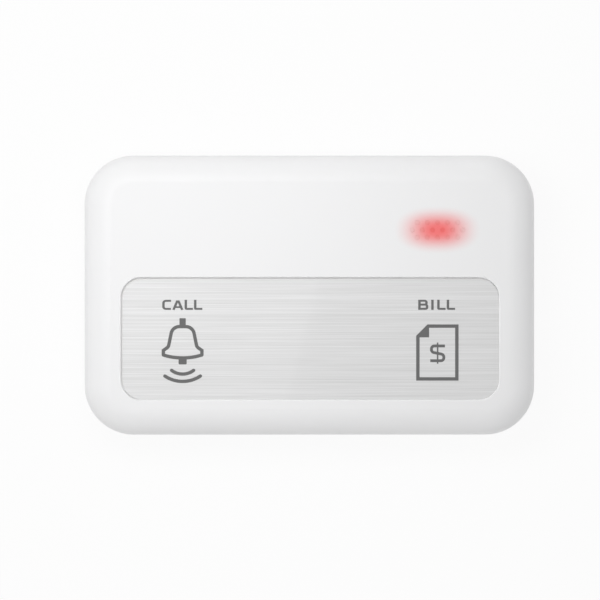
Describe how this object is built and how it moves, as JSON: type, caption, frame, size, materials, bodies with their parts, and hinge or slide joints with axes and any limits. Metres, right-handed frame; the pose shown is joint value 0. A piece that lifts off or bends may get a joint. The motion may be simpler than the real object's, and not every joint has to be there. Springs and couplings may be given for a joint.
{
  "type": "waiter call button",
  "caption": "Flat white table-top call button with a silver key panel, a red status light and a sliding battery door underneath.",
  "frame": {"origin": "centre of the outline, on the table under the rubber feet", "axes": "+Z out of the front face, +X to the right and +Y away from the user as the keys are read"},
  "size_m": [0.087, 0.054, 0.016],
  "materials": {
    "case": "smooth white ABS",
    "film": "brushed silver film",
    "adhesive": "clear tape",
    "key": "moulded, satin",
    "diffuser": "translucent, lit red from below",
    "rubber": "soft matte",
    "screw": "zinc plated",
    "board": "green solder mask",
    "black_moulding": "black moulding",
    "plated_metal": "tinned",
    "spring_metal": "nickel-plated spring strip",
    "steel_can": "nickel-plated can",
    "seal": "moulded ring",
    "ceramic": "fired ceramic",
    "led_case": "white moulding",
    "resin": "clear resin"
  },
  "bodies": {
    "housing": {"top_cover": "case", "bottom_cover": "case", "graphic_overlay": "film", "overlay_adhesive": "adhesive", "light_guide": "diffuser", "rubber_feet": "rubber", "case_screws": "screw", "board_screws": "screw", "circuit_board": "board", "encoder_chip": "black_moulding", "encoder_chip_leads": "plated_metal", "saw_resonator": "plated_metal", "rf_transistor": "black_moulding", "chip_capacitors": "ceramic", "chip_resistors": "black_moulding", "antenna_wire": "plated_metal", "battery_contact_negative": "spring_metal", "battery_contact_positive": "spring_metal", "coin_cell_can": "steel_can", "coin_cell_gasket": "seal", "coin_cell_cap": "steel_can", "status_led": "led_case", "status_led_lens": "resin", "call_switch_housing": "black_moulding", "call_switch_cover": "plated_metal", "call_switch_dome": "spring_metal", "call_switch_terminals": "plated_metal", "bill_switch_housing": "black_moulding", "bill_switch_cover": "plated_metal", "bill_switch_dome": "spring_metal", "bill_switch_terminals": "plated_metal"},
    "call_key": {"call_key": "key"},
    "bill_key": {"bill_key": "key"},
    "call_stem": {"call_switch_stem": "black_moulding"},
    "bill_stem": {"bill_switch_stem": "black_moulding"},
    "battery_door": {"battery_door": "case"}
  },
  "joints": [
    {"name": "call_key_press", "type": "slide", "parent": "housing", "child": "call_key", "axis": [0, 0, -1], "range_m": [0, 0.00025], "stiffness_N_per_m": 6400},
    {"name": "bill_key_press", "type": "slide", "parent": "housing", "child": "bill_key", "axis": [0, 0, -1], "range_m": [0, 0.00025], "stiffness_N_per_m": 6400},
    {"name": "call_stem_press", "type": "slide", "parent": "housing", "child": "call_stem", "axis": [0, 0, -1], "range_m": [0, 0.00025], "stiffness_N_per_m": 400, "deforming": ["call_switch_dome"]},
    {"name": "bill_stem_press", "type": "slide", "parent": "housing", "child": "bill_stem", "axis": [0, 0, -1], "range_m": [0, 0.00025], "stiffness_N_per_m": 400, "deforming": ["bill_switch_dome"]},
    {"name": "battery_door_slide", "type": "slide", "parent": "housing", "child": "battery_door", "axis": [0, -1, 0], "range_m": [0, 0.036]}
  ],
  "couplings": [
    {"joint": "call_stem_press", "follows": "call_key_press", "ratio": 1},
    {"joint": "bill_stem_press", "follows": "bill_key_press", "ratio": 1}
  ]
}
